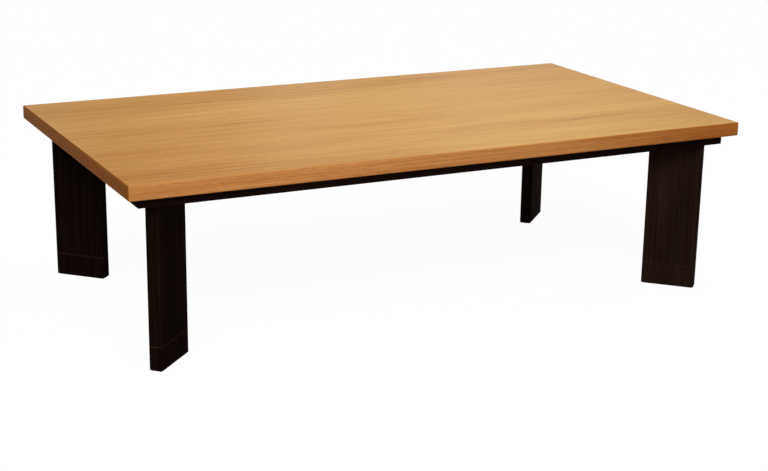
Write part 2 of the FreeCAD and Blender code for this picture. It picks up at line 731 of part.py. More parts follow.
def electrics():
    """Thermostat, thermal fuse, terminal block, inlet socket with its pins."""
    disc = rod("thermostat_disc", "thermostat_radius", "thermostat_height",
               ("-thermostat_x", "0", CEILING), "down")
    base = block("thermostat_base", "thermostat_base_width", "thermostat_base_length", "sheet_thickness",
                 ("-thermostat_x", "0", f"{CEILING} - sheet_thickness"))
    node(joined("thermostat", [disc, base]), "thermostat")
    fuse_at = ("-fuse_x", "0", f"{CEILING} - fuse_radius")
    fuse = centred_rod("fuse_body", "fuse_radius", "fuse_length", fuse_at, "y")
    wire_length = "fuse_length + 2 * fuse_wire_length"
    wire = centred_rod("fuse_wire", "fuse_wire_radius", wire_length, fuse_at, "y")
    node(joined("fuse", [fuse, wire]), "thermal_fuse")

    strip_z = f"{CEILING} - terminal_height"
    strip = block("terminal_strip", "terminal_length", "terminal_width", "terminal_height",
                  ("terminal_x", "0", strip_z))
    wells = [rod("terminal_well", "terminal_bore_radius", "terminal_bore_depth + overrun",
                 ("terminal_x", f"{step} * terminal_pitch", f"{strip_z} - overrun")) for step in (-1, 0, 1)]
    node(less("terminals", strip, gathered("wells", wells)), "terminal_block")

    low = f"{INLET_Z} - inlet_height / 2"
    body = block("inlet_body", "inlet_length + inlet_rim_thickness", "inlet_width", "inlet_height",
                 (f"{INLET_FACE} - (inlet_length + inlet_rim_thickness) / 2", "0", low))
    rim_width = "inlet_width + 2 * inlet_rim"
    rim_height = "inlet_height + 2 * inlet_rim"
    rim = block("inlet_rim", "inlet_rim_thickness", rim_width, rim_height,
                (f"{INLET_FACE} - inlet_rim_thickness / 2", "0", f"{low} - inlet_rim"))
    cavity = block("inlet_cavity", "cavity_depth + overrun", "cavity_width", "cavity_height",
                   (f"{INLET_FACE} + (overrun - cavity_depth) / 2", "0", f"{INLET_Z} - cavity_height / 2"))
    back = f"{INLET_FACE} - inlet_rim_thickness - inlet_length"
    pins, holes = [], []
    for step in (-1, 1):
        y = f"{step} * inlet_pin_spacing / 2"
        root_length = f"{CAVITY_FLOOR} - ({back}) + inlet_pin_tail"
        root = rod("inlet_pin_root", "inlet_pin_root_radius", root_length,
                   (f"{back} - inlet_pin_tail", y, INLET_Z), "x")
        contact = rod("inlet_pin_contact", "inlet_pin_radius", "inlet_pin_length",
                      (CAVITY_FLOOR, y, INLET_Z), "x")
        pins.append(joined("inlet_pin", [root, contact]))
        holes.append(rod("inlet_pin_hole", "inlet_pin_root_radius + press_gap",
                         "inlet_length + inlet_rim_thickness - cavity_depth + 2 * overrun",
                         (f"{back} - overrun", y, INLET_Z), "x"))
    shell = joined("inlet_shell", [body, rim])
    node(less("inlet", shell, gathered("inlet_cuts", [cavity] + holes)), "inlet_socket")
    node(gathered("inlet_pins", pins), "inlet_pins")


def lead(label, points):
    """A wire of the lead's radius along straight runs joined by tangent arcs."""
    stops = [FreeCAD.Vector(*[value(text) for text in point]) for point in points]
    edges = []
    start = stops[0]
    for before, corner, after in zip(stops, stops[1:], stops[2:]):
        into = (corner - before).normalize()
        out = (after - corner).normalize()
        turn = into.getAngle(out)
        trim = BEND_SHARE * min((corner - before).Length, (after - corner).Length)
        radius = trim / math.tan(turn / 2)
        first = corner - into * trim
        last = corner + out * trim
        middle = (out - into).normalize()
        crest = corner + middle * (radius / math.cos(turn / 2) - radius)
        edges.append(Part.LineSegment(start, first).toShape())
        edges.append(Part.Arc(first, crest, last).toShape())
        start = last
    edges.append(Part.LineSegment(start, stops[-1]).toShape())
    path = Part.Wire(edges)
    ring = Part.Wire(Part.makeCircle(value("lead_radius"), stops[0], stops[1] - stops[0]))
    thing = doc.addObject("Part::Feature", label)
    thing.Shape = path.makePipeShell([ring], True, False)
    return thing


def leads():
    """Four wires: inlet pins to the terminal block, terminal block to the tube holders."""
    tail = f"{INLET_FACE} - inlet_rim_thickness - inlet_length - inlet_pin_tail"
    strip_z = f"{CEILING} - terminal_height"
    level = f"{CEILING} - terminal_height / 2"
    rise_x = "(terminal_x + terminal_length / 2 - lead_setback)"
    wires = []
    for step in (-1, 1):
        y = f"{step} * inlet_pin_spacing / 2"
        wires.append(lead("supply_lead", [(tail, y, INLET_Z), (f"{tail} - lead_run", y, INLET_Z),
                                          (rise_x, y, f"({INLET_Z} + {strip_z}) / 2"), (rise_x, y, strip_z)]))
        side = f"{step} * terminal_width / 2"
        reach = f"{step} * (tube_spacing - holder_width) / 2"
        wires.append(lead("tube_lead", [(rise_x, side, level), (rise_x, f"{side} + {step} * lead_run", level),
                                        (HOLDER_X, f"{reach} - {step} * lead_run", level),
                                        (HOLDER_X, reach, level)]))
    node(gathered("wires", wires), "internal_leads")


plate()
discs()
underframe()
leg_hardware()
legs()
heater_case()
guard()
heating()
motor()
electrics()
leads()
doc.recompute()

for thing in doc.Objects:
    if "Invalid" in thing.State or "Error" in thing.State:
        raise RuntimeError(f"{thing.Label} failed: {thing.State}")
for thing in nodes:
    if thing.Shape.isNull() or not thing.Shape.isValid() or not thing.Shape.Solids:
        raise RuntimeError(f"{thing.Label} has no valid solid")

os.makedirs("parts", exist_ok=True)
for thing in nodes:
    thing.Shape.exportStep(f"parts/{thing.Label}.step")
    print(f"{thing.Label}: {len(thing.Shape.Solids)} solid(s), {thing.Shape.Volume:.0f} mm3")
print(len(nodes), "nodes")
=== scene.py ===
# %% [markdown]
# This lesson dresses the working model of a kotatsu, a low heated table: a loose oak plate on a thin
# dark frame, four board legs set diagonally, and a fan heater under the middle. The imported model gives
# every piece its true size and place, so the first step only loads it and keeps the box it fills.

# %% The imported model
import json
import math
import bmesh
import bpy
import numpy as np
from mathutils import Matrix, Vector


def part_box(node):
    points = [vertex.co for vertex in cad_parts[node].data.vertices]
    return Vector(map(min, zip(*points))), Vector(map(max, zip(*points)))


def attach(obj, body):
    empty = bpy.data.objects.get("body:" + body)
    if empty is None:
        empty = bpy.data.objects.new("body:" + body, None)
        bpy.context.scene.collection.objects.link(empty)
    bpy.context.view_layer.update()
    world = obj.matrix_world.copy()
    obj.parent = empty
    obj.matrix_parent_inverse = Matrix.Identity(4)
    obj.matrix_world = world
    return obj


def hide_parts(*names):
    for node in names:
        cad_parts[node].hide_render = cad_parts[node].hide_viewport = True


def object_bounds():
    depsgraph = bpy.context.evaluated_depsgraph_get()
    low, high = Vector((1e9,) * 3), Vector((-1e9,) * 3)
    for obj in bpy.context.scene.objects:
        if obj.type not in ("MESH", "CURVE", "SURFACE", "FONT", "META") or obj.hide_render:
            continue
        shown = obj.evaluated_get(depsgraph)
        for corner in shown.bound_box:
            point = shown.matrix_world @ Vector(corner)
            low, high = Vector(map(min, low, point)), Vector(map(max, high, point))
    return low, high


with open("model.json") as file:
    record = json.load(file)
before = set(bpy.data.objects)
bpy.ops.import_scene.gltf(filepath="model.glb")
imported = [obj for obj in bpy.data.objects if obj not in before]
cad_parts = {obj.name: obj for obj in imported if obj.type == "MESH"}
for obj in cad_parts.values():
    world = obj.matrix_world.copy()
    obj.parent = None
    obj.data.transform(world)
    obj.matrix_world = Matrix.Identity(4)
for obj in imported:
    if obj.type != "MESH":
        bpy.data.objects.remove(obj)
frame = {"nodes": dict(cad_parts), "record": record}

CAD_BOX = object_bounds()
BODY_OF = {node: body for body, members in frame["record"]["behaviour"]["bodies"].items() for node in members}
CORNERS = ("front_left", "front_right", "back_left", "back_right")
print("loaded", len(frame["nodes"]), "nodes; size", [round(v, 4) for v in CAD_BOX[1] - CAD_BOX[0]])

# %% [markdown]
# The camera stands where the photographer stood: in front, to the left and a little above the table. Its
# place, heading and lens were found by fitting the table's known corners to the picture, and the small
# roll is the tilt with which the picture was taken. A camera can also be aimed with a constraint, but
# three angles in one matrix say the same thing and leave nothing live in the scene.

# %% Camera
CAMERA_PLACE = (-1.4806, -2.9982, 1.0999)
HEADING = math.radians(-26.584)
LOOK_DOWN = math.radians(16.622)
ROLL = math.radians(0.843)
FOCAL_LENGTH_MM = 74.32
SENSOR_MM = 36

scene = bpy.context.scene
camera = bpy.data.objects.new("camera", bpy.data.cameras.new("camera"))
scene.collection.objects.link(camera)
camera.data.sensor_width = SENSOR_MM
camera.data.lens = FOCAL_LENGTH_MM
camera.matrix_world = (Matrix.Translation(CAMERA_PLACE) @ Matrix.Rotation(HEADING, 4, "Z")
                       @ Matrix.Rotation(math.pi / 2 - LOOK_DOWN, 4, "X") @ Matrix.Rotation(ROLL, 4, "Z"))
scene.camera = camera
print("camera stands", round(camera.location.length, 2), "m from the table's middle")

# %% [markdown]
# Every material below is built from nodes. Two helpers carry the work: one turns the hex colours that
# people read off a swatch into the linear numbers that a renderer mixes, and one adds a node with its
# settings and links in a single call, so that each material reads as a list of what its surface does.

# %% Colours and nodes
MM = 0.001
# nearly all values of a noise lie between these two
NOISE_SPAN = (0.3, 0.7)


def linear(code, alpha=1.0):
    """sRGB hex to linear: c / 12.92 for dark values, else ((c + 0.055) / 1.055) to the power 2.4."""
    channels = np.array([int(code[i:i + 2], 16) for i in (1, 3, 5)]) / 255
    curved = ((channels + 0.055) / 1.055) ** 2.4
    return (*np.where(channels <= 0.04045, channels / 12.92, curved).tolist(), alpha)


def add(tree, kind, inputs=None, ramp=None, **attributes):
    """One node: plain values and linked sockets go to its inputs, the rest are its own settings."""
    node = tree.nodes.new(kind)
    for name, value in attributes.items():
        setattr(node, name, value)
    for key, value in (inputs or {}).items():
        if isinstance(value, bpy.types.NodeSocket):
            tree.links.new(value, node.inputs[key])
        else:
            node.inputs[key].default_value = value
    if ramp:
        stops = node.color_ramp.elements
        while len(stops) < len(ramp):
            stops.new(0.5)
        for stop, (position, colour) in zip(stops, ramp):
            stop.position = position
            stop.color = colour
    return node


def start_material(name, **plain):
    """A material with one Principled shader, whose unvarying inputs are set on its own sockets."""
    material = bpy.data.materials.new(name)
    material.use_nodes = True
    tree = material.node_tree
    tree.nodes.clear()
    shader = add(tree, "ShaderNodeBsdfPrincipled", plain)
    add(tree, "ShaderNodeOutputMaterial", {"Surface": shader.outputs["BSDF"]})
    return material, tree, shader


def object_points(tree, size_mm, turn=(0, 0, 0)):
    """Object coordinates, turned, then divided by a real size so that one unit is one grain or grit."""
    where = add(tree, "ShaderNodeTexCoord")
    turned_back = add(tree, "ShaderNodeMapping", {"Vector": where.outputs["Object"], "Rotation": turn})
    scale = [1 / (side * MM) for side in size_mm]
    sized = add(tree, "ShaderNodeMapping", {"Vector": turned_back.outputs["Vector"], "Scale": scale})
    return sized.outputs["Vector"]


# %% [markdown]
# The plate is faced with rift-cut oak veneer under a clear satin lacquer. Rift-cut oak has straight, close
# growth lines along the board, short dark pores lying in them, and leaves of veneer laid side by side,
# each a shade lighter or darker than the next. A picture of wood would be quicker, but it slides and
# repeats; noise stretched along the grain gives the same layers at their real scale on every face.

# %% Wood
GRAIN_TURNS = {
    "x": (0, 0, 0),
    "y": (0, 0, math.radians(-90)),
    "z": (0, math.radians(90), 0),
    "diagonal": (0, 0, math.radians(-45)),
}
# the pore noise is a full pore below the first value and plain wood above the second
PORE_SPAN = (0.36, 0.47)
PORE_RELIEF_MM = 0.04


def wood(name, shades, grain, line_mm, pore_depth, pore_mm=(16, 0.9, 0.9), leaf_mm=(2600, 150, 150),
         leaf_share=0.35, rough=(0.38, 0.5), painted_light_tone=1.0, drift=None, **plain):
    """Growth lines, leaves and pores: three noises stretched along the grain.

    Figure = lines x (1 - leaf share) + leaves x leaf share, read through a ramp of shades times a tone, which
    is painted light on the legs; the pores then darken it by pore depth and sink into it, and the figure sets
    how rough it is.
    Drift names an axis, the two places along it, in metres, between which the colour changes, and the
    factor that it reaches.
    """
    material, tree, shader = start_material(name, **plain)
    turn = GRAIN_TURNS[grain]
    lines = add(tree, "ShaderNodeTexNoise", {"Vector": object_points(tree, line_mm, turn), "Scale": 1.0,
                                             "Detail": 6.0, "Roughness": 0.62, "Distortion": 0.4})
    leaves = add(tree, "ShaderNodeTexNoise", {"Vector": object_points(tree, leaf_mm, turn), "Scale": 1.0,
                                              "Detail": 2.0, "Roughness": 0.45, "Distortion": 0.2})
    figure = add(tree, "ShaderNodeMix", {"Factor": leaf_share, "A": lines.outputs["Fac"],
                                         "B": leaves.outputs["Fac"]})
    colour = add(tree, "ShaderNodeValToRGB", {"Fac": figure.outputs["Result"]},
                 ramp=[(position, [painted_light_tone * part for part in linear(code)]) for position, code in shades])
    pores = add(tree, "ShaderNodeTexNoise", {"Vector": object_points(tree, pore_mm, turn), "Scale": 1.0,
                                             "Detail": 3.0, "Roughness": 0.5})
    sunk = add(tree, "ShaderNodeMapRange", {"Value": pores.outputs["Fac"], "From Min": PORE_SPAN[0],
                                            "From Max": PORE_SPAN[1], "To Min": 1.0, "To Max": 0.0})
    darker = add(tree, "ShaderNodeMath", {0: sunk.outputs["Result"], 1: pore_depth}, operation="MULTIPLY")
    kept = add(tree, "ShaderNodeMath", {0: 1.0, 1: darker.outputs["Value"]}, operation="SUBTRACT")
    shaded = add(tree, "ShaderNodeVectorMath", {0: colour.outputs["Color"], 1: kept.outputs["Value"]},
                 operation="MULTIPLY")
    if drift:
        axis, begin, end, factor = drift
        where = add(tree, "ShaderNodeSeparateXYZ", {0: add(tree, "ShaderNodeTexCoord").outputs["Object"]})
        reached = add(tree, "ShaderNodeMapRange", {"Value": where.outputs[axis], "From Min": begin,
                                                   "From Max": end}, interpolation_type="SMOOTHSTEP")
        gain = add(tree, "ShaderNodeMix", {0: reached.outputs["Result"], 4: (1.0, 1.0, 1.0), 5: factor},
                   data_type="VECTOR")
        shaded = add(tree, "ShaderNodeVectorMath", {0: shaded.outputs["Vector"], 1: gain.outputs[1]},
                     operation="MULTIPLY")
    gloss = add(tree, "ShaderNodeMapRange", {"Value": figure.outputs["Result"], "From Min": NOISE_SPAN[0],
                                             "From Max": NOISE_SPAN[1], "To Min": rough[0],
                                             "To Max": rough[1]})
    relief = add(tree, "ShaderNodeBump", {"Height": kept.outputs["Value"], "Distance": PORE_RELIEF_MM * MM,
                                          "Strength": 0.6})
    tree.links.new(shaded.outputs["Vector"], shader.inputs["Base Color"])
    tree.links.new(gloss.outputs["Result"], shader.inputs["Roughness"])
    tree.links.new(relief.outputs["Normal"], shader.inputs["Normal"])
    return material


# %% [markdown]
# Lacquer decides how oak looks as much as the oak does. The plate has a thin satin lacquer that mirrors the
# room only faintly, and its solid edge strips are rubbed nearly dead. How much a lacquer gives back is one
# number on the shader's own socket. The colour may also drift along a piece: the veneer grows a little
# redder to the left, and the front strip is painted darker and redder towards its right end, a painted shade.
# The strips at the two ends are painted darker than the front and back, a painted shade as well.

# %% Oak
OAK_SHADES = [(0.32, "#C5853A"), (0.45, "#D69C4E"), (0.55, "#E0AA5C"), (0.68, "#EAB76E")]
OAK_FRONT_SHADES = [(0.3, "#A6632C"), (0.46, "#C37F43"), (0.6, "#D18D50"), (0.72, "#DC9C5D")]
# painted shade: the strips at the plate's left and right ends are painted darker than the front and back
# strips
OAK_END_PAINTED_SHADES = [(0.3, "#824615"), (0.46, "#9C5B23"), (0.6, "#A8672C"), (0.72, "#B77538")]
# the lacquers are dull: they give back far less of the white room than bare resin would
SATIN_LACQUER = {"Specular IOR Level": 0.025}
RUBBED_LACQUER = {"Specular IOR Level": 0.004}
LIPPING_FIGURE = {"line_mm": (380, 3.2, 3.2), "leaf_mm": (900, 60, 60), "leaf_share": 0.25,
                  "pore_depth": 0.25}
# towards its left end the veneer is a little redder
WARM_END = ("X", 0.15, -0.55, (1.06, 0.98, 0.98))
# painted shade: the front strip is painted darker and redder towards its right end
FRONT_RIGHT_END_PAINTED_SHADE = ("X", 0.1, 0.66, (0.74, 0.58, 0.38))

# rift-cut oak veneer, sliced and lacquered satin: straight pale lines with a soft, faint sheen
oak_veneer = wood("oak_veneer_satin_lacquer", OAK_SHADES, "x", line_mm=(240, 7, 7), pore_depth=0.2,
                  leaf_mm=(1100, 120, 120), leaf_share=0.42, rough=(0.26, 0.34), drift=WARM_END,
                  **SATIN_LACQUER)
# solid oak strips, planed and rubbed: closer lines, warmer and almost without shine
oak_front = wood("oak_lipping_front_board", OAK_FRONT_SHADES, "x", drift=FRONT_RIGHT_END_PAINTED_SHADE, **LIPPING_FIGURE,
                 **RUBBED_LACQUER)
# the back strip takes the front strip's shades; the two end strips take the painted shade
oak_edges = {grain: wood(f"oak_lipping_grain_{grain}", shades, grain, **LIPPING_FIGURE, **RUBBED_LACQUER)
             for grain, shades in (("x", OAK_FRONT_SHADES), ("y", OAK_END_PAINTED_SHADES))}
print("oak finishes:", 2 + len(oak_edges))

# %% [markdown]
# The frame and the legs are stained espresso, a brown so deep that only a close look finds the grain. Each
# leg's stain is made lighter or darker by a tone of painted light, which stands for how the light falls on
# it,
# and its extension block takes the same tone. Just below each block's top the colour drifts to a lighter
# brown:
# a painted highlight along the arris, which also stands for wear where hands pull the block off and push it
# on.
# It is the thin line that crosses each leg.

# %% Espresso and beech
ESPRESSO_SHADES = [(0.3, "#100906"), (0.48, "#1B110D"), (0.6, "#261913"), (0.72, "#32221B")]
BEECH_SHADES = [(0.3, "#C9A57A"), (0.5, "#D8B88E"), (0.7, "#E2C7A2")]
DEAD_MATT_LACQUER = {"Specular IOR Level": 0.001}
STAINED = {"pore_depth": 0.45, "rough": (0.5, 0.6), **DEAD_MATT_LACQUER}
BOARD_FIGURE = {"line_mm": (300, 3, 3), "pore_mm": (14, 0.8, 0.8), "leaf_mm": (500, 70, 70)}
BLOCK_FIGURE = {"line_mm": (180, 2.2, 2.2), "pore_mm": (11, 0.8, 0.8), "leaf_mm": (300, 50, 50)}
# painted light: each leg's stain is lighter or darker as the light falls on it, the front right leg lightest
LEG_PAINTED_LIGHT_TONES = {"front_left": 0.65, "front_right": 1.55, "back_left": 0.7, "back_right": 1.25}
BLOCK_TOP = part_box("extension_front_left")[1].z
# painted highlight and wear: the block's colour turns lighter in a band just below its top
HIGHLIGHT_AND_WEAR_BEGINS = 2.2 * MM
HIGHLIGHT_AND_WEAR_COMPLETE = 1.8 * MM
HIGHLIGHT_AND_WEAR_GAIN = np.array([2.8, 2.6, 2.5])


def painted_highlight_and_wear(painted_light_tone):
    """The lighter band just below a block's top, a painted highlight and wear, whatever the leg's painted
    light tone.
    """
    return ("Z", BLOCK_TOP - HIGHLIGHT_AND_WEAR_BEGINS, BLOCK_TOP - HIGHLIGHT_AND_WEAR_COMPLETE, (HIGHLIGHT_AND_WEAR_GAIN / painted_light_tone).tolist())


# planed boards under espresso stain: nearly black, with a grain that shows only in strong light
espresso = {grain: wood(f"espresso_stained_wood_grain_{grain}", ESPRESSO_SHADES, grain, **BOARD_FIGURE,
                        **STAINED)
            for grain in ("x", "y", "diagonal")}
# each leg, and the block under it, gets its own copy of the stain in the leg's painted light tone
espresso_leg_painted_light = {corner: wood(f"espresso_stained_leg_painted_light_{corner}", ESPRESSO_SHADES, "z", painted_light_tone=painted_light_tone,
                             **BOARD_FIGURE, **STAINED)
                for corner, painted_light_tone in LEG_PAINTED_LIGHT_TONES.items()}
espresso_block_painted_light_and_wear = {corner: wood(f"espresso_stained_block_{corner}", ESPRESSO_SHADES, "z", painted_light_tone=painted_light_tone,
                               drift=painted_highlight_and_wear(painted_light_tone), **BLOCK_FIGURE, **STAINED)
                  for corner, painted_light_tone in LEG_PAINTED_LIGHT_TONES.items()}
# turned beech, unfinished: pale, fine and even
beech = wood("plain_beech_dowel", BEECH_SHADES, "x", line_mm=(80, 1.5, 1.5), pore_mm=(4, 0.4, 0.4),
             pore_depth=0.2)
print("espresso finishes:", len(espresso) + len(espresso_leg_painted_light) + len(espresso_block_painted_light_and_wear))

# %% [markdown]
# Below the frame everything is metal, plastic, glass and ceramic. Most of these surfaces differ from a
# flat colour in one way: powder paint and moulded plastic have a fine grit, spun and drawn steel has
# long scratches, felt has matted fibres. One function therefore sets a base colour, mottles it a little
# and raises a grit of a stated size, and each finish says which sizes the real one has.

# %% Grained finishes
def grained(name, code, grit_mm, mottle, relief_mm, rough, **plain):
    """Base colour times (1 - mottle .. 1), roughness and relief all follow one noise of the given grit."""
    material, tree, shader = start_material(name, **plain)
    grit = add(tree, "ShaderNodeTexNoise", {"Vector": object_points(tree, grit_mm), "Scale": 1.0,
                                            "Detail": 4.0, "Roughness": 0.6})
    shade = add(tree, "ShaderNodeMapRange", {"Value": grit.outputs["Fac"], "From Min": NOISE_SPAN[0],
                                             "From Max": NOISE_SPAN[1], "To Min": 1 - mottle, "To Max": 1.0})
    colour = add(tree, "ShaderNodeVectorMath", {0: linear(code)[:3], 1: shade.outputs["Result"]},
                 operation="MULTIPLY")
    gloss = add(tree, "ShaderNodeMapRange", {"Value": grit.outputs["Fac"], "From Min": NOISE_SPAN[0],
                                             "From Max": NOISE_SPAN[1], "To Min": rough[0],
                                             "To Max": rough[1]})
    relief = add(tree, "ShaderNodeBump", {"Height": grit.outputs["Fac"], "Distance": relief_mm * MM,
                                          "Strength": 0.7})
    tree.links.new(colour.outputs["Vector"], shader.inputs["Base Color"])
    tree.links.new(gloss.outputs["Result"], shader.inputs["Roughness"])
    tree.links.new(relief.outputs["Normal"], shader.inputs["Normal"])
    return material


# wool felt: matted fibres about 1 mm long, no gloss, a soft sheen at grazing angles
felt = grained("pressed_wool_felt", "#2B2724", (1.1, 1.1, 1.1), mottle=0.5, relief_mm=0.25, rough=(0.9, 1.0),
               **{"Sheen Weight": 0.4})
# bright zinc plate on turned steel: pale, slightly cloudy
zinc = grained("zinc_plated_steel", "#C6C9CC", (3, 3, 3), mottle=0.1, relief_mm=0.004, rough=(0.26, 0.36),
               Metallic=1.0)
# heat-proof black paint on pressed sheet: an even orange peel of about 1 mm
black_paint = grained("heatproof_black_paint", "#1B1B1C", (1.2, 1.2, 1.2), mottle=0.1, relief_mm=0.02,
                      rough=(0.42, 0.52))
# black enamel on drawn wire: smoother and glossier than the paint
black_enamel = grained("black_wire_enamel", "#151516", (2.5, 2.5, 2.5), mottle=0.08, relief_mm=0.006,
                       rough=(0.28, 0.36))
# moulded polyamide: spark-eroded texture of about half a millimetre, drawn at 0.8 so that it shows
black_plastic = grained("moulded_black_polyamide", "#1D1D1F", (0.8, 0.8, 0.8), mottle=0.1, relief_mm=0.04,
                        rough=(0.5, 0.6))
# rolled and polished aluminium: long fine rolling marks along the trough
polished_aluminium = grained("rolled_polished_aluminium", "#DADCDD", (60, 0.6, 0.6), mottle=0.08,
                             relief_mm=0.003, rough=(0.12, 0.24), Metallic=1.0)
# drawn steel of the motor: marks run round with the draw
drawn_steel = grained("drawn_motor_steel", "#9EA1A4", (25, 25, 0.5), mottle=0.12, relief_mm=0.004,
                      rough=(0.3, 0.42), Metallic=1.0)
# turned brass: warm, with the faint marks of the tool
brass = grained("turned_brass", "#C9A55C", (8, 0.4, 0.4), mottle=0.1, relief_mm=0.003, rough=(0.24, 0.34),
                Metallic=1.0)
# resistance wire after use: grey-brown oxide
heating_wire = grained("oxidised_resistance_wire", "#6E5E52", (0.7, 0.7, 0.7), mottle=0.3, relief_mm=0.01,
                       rough=(0.5, 0.65), Metallic=0.8)
# steatite: pale, unglazed, faintly speckled
steatite = grained("unglazed_steatite", "#E6E1D3", (0.9, 0.9, 0.9), mottle=0.07, relief_mm=0.02,
                   rough=(0.55, 0.7))
# moulded melamine: ivory, even, with a slight shine
pale_plastic = grained("moulded_ivory_melamine", "#DAD4C3", (1, 1, 1), mottle=0.05, relief_mm=0.02,
                       rough=(0.38, 0.46))
# tinned sheet: a dull warm grey, faintly blotched
fuse_case = grained("tinned_fuse_case", "#C8BFAE", (1.5, 1.5, 1.5), mottle=0.1, relief_mm=0.004,
                    rough=(0.3, 0.42), Metallic=1.0)
# woven glass sleeve soaked in silicone: chalky, with a fine uneven surface
silicone = grained("silicone_glass_sleeve", "#D9D6CC", (1, 1, 1), mottle=0.12, relief_mm=0.05,
                   rough=(0.6, 0.75))
# fused quartz: clear, low index, drawn so smooth that it shows no texture of its own
quartz = grained("fused_quartz_tube", "#F6F6F2", (20, 20, 20), mottle=0.02, relief_mm=0.001,
                 rough=(0.02, 0.06), IOR=1.458, **{"Transmission Weight": 1.0})

# %% [markdown]
# The new surfaces are grids: two parameters, whole arrays of points, and quads between neighbours. The
# helpers below put such arrays into a mesh, turn every face outwards, shade it smooth where the surface
# bends gently, and fasten the piece to the body that carries the node it stands for or sits beside.

# %% From arrays to pieces
SMOOTH_BELOW = math.radians(32)
FLAT_WITHIN = math.radians(1)
MERGE_WITHIN = 0.001 * MM
EASE_SEGMENTS = 3


def tube_faces(rows, columns):
    """A rows x columns grid closed around: quads between neighbours, one flat face on each end row."""
    row, column = np.meshgrid(np.arange(rows - 1), np.arange(columns), indexing="ij")
    beside = (column + 1) % columns
    quads = np.stack([row * columns + column, row * columns + beside,
                      (row + 1) * columns + beside, (row + 1) * columns + column], axis=-1)
    first = list(range(columns))
    last = [(rows - 1) * columns + index for index in range(columns)]
    return quads.reshape(-1, 4).tolist() + [first[::-1], last]


def shells(grids):
    """Points and faces of several closed grids, each grid's indices counted on from the last one's."""
    points = [grid.reshape(-1, 3) for grid in grids]
    faces = []
    count = 0
    for grid in grids:
        rows, columns = grid.shape[:2]
        faces += [[corner + count for corner in face] for face in tube_faces(rows, columns)]
        count += rows * columns
    return np.concatenate(points), faces


def shade_smooth(mesh):
    """Smooth shading, with only those edges kept sharp that turn a lot."""
    mesh.polygons.foreach_set("use_smooth", np.ones(len(mesh.polygons), dtype=bool))
    mesh.set_sharp_from_angle(angle=SMOOTH_BELOW)


def new_piece(name, grids, material, beside):
    """A new piece made of closed grids, which rides with the body of the node it sits beside."""
    points, faces = shells(grids)
    mesh = bpy.data.meshes.new(name)
    mesh.from_pydata(points.tolist(), [], faces)
    work = bmesh.new()
    work.from_mesh(mesh)
    bmesh.ops.remove_doubles(work, verts=work.verts, dist=MERGE_WITHIN)
    bmesh.ops.recalc_face_normals(work, faces=work.faces)
    work.to_mesh(mesh)
    work.free()
    shade_smooth(mesh)
    mesh.materials.append(material)
    piece = bpy.data.objects.new(name, mesh)
    scene.collection.objects.link(piece)
    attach(piece, BODY_OF[beside])
    return piece


def stand_in(name, grids, material, node):
    """A new piece that stands for a node: the node is hidden, and the piece takes its place."""
    piece = new_piece(name, grids, material, node)
    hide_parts(node)
    return piece


def eased(node, material, width_mm=0.0):
    """A copy of a node's own shape, its triangles merged to whole faces and its edges slightly rounded."""
    mesh = frame["nodes"][node].data.copy()
    mesh.name = f"{node}_finished"
    mesh.materials.clear()
    work = bmesh.new()
    work.from_mesh(mesh)
    bmesh.ops.remove_doubles(work, verts=work.verts, dist=MERGE_WITHIN)
    bmesh.ops.dissolve_limit(work, angle_limit=FLAT_WITHIN, verts=work.verts, edges=work.edges)
    work.to_mesh(mesh)
    work.free()
    if mesh.has_custom_normals:
        mesh.attributes.remove(mesh.attributes["custom_normal"])
    shade_smooth(mesh)
    mesh.materials.append(material)
    piece = bpy.data.objects.new(f"{node}_finished", mesh)
    scene.collection.objects.link(piece)
    if width_mm:
        bevel = piece.modifiers.new("eased_edges", "BEVEL")
        bevel.width = width_mm * MM
        bevel.segments = EASE_SEGMENTS
        bevel.limit_method = "ANGLE"
        bevel.angle_limit = SMOOTH_BELOW
        bevel.harden_normals = True
    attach(piece, BODY_OF[node])
    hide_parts(node)


# %% [markdown]
# The plate is a panel held between four solid strips, mitred where they meet. Each strip is its cross
# section carried along one side: the outer arrises are quarter circles, and near its ends the outer face
# turns through an eighth of a circle up to the mitre, so that two strips meet in a softly rounded upright
# corner. One formula does both, because every point of the section keeps its own distance from the face.

# %% The plate
ARRIS = 3 * MM
CORNER_ROUND = 4 * MM
ARC_STEPS = 6
# a face of a strip whose normal rises more than this belongs to the veneered top
UPWARD = 0.9
panel_low, panel_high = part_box("top_panel")
plate_low, plate_high = CAD_BOX
PLATE_BOTTOM = panel_low.z
PLATE_TOP = panel_high.z
PLATE_LENGTH = plate_high.x - plate_low.x
PLATE_DEPTH = plate_high.y - plate_low.y
STRIP_WIDTH = plate_high.x - panel_high.x


def strip_section():
    """Points (distance from the outer face, height) round the section, its outer arrises quarter circles."""
    turn = np.linspace(0, math.pi / 2, ARC_STEPS)
    lower = np.stack([ARRIS - ARRIS * np.sin(turn), PLATE_BOTTOM + ARRIS - ARRIS * np.cos(turn)], axis=-1)
    upper = np.stack([ARRIS - ARRIS * np.cos(turn), PLATE_TOP - ARRIS + ARRIS * np.sin(turn)], axis=-1)
    inner = np.array([[STRIP_WIDTH, PLATE_TOP], [STRIP_WIDTH, PLATE_BOTTOM]])
    return np.concatenate([lower, upper, inner])


def strip_points(length, across):
    """Section points carried along one side of the plate.

    A point at distance o from the face runs straight to (length / 2 - max(o, r)) and then round an arc of
    radius max(r - o, 0) through 45 degrees, r being the rounding of the upright corner.
    """
    section = strip_section()
    distance, height = section[:, 0], section[:, 1]
    straight = length / 2 - np.maximum(distance, CORNER_ROUND)
    radius = np.maximum(CORNER_ROUND - distance, 0)
    turn = np.linspace(0, math.pi / 4, ARC_STEPS)[:, None]
    right_x = straight + radius * np.sin(turn)
    right_in = np.maximum(distance, CORNER_ROUND) - radius * np.cos(turn)
    x = np.concatenate([-right_x[::-1], right_x])
    inward = np.concatenate([right_in[::-1], right_in])
    z = np.broadcast_to(height, x.shape)
    return np.stack([x, inward - across / 2, z], axis=-1)


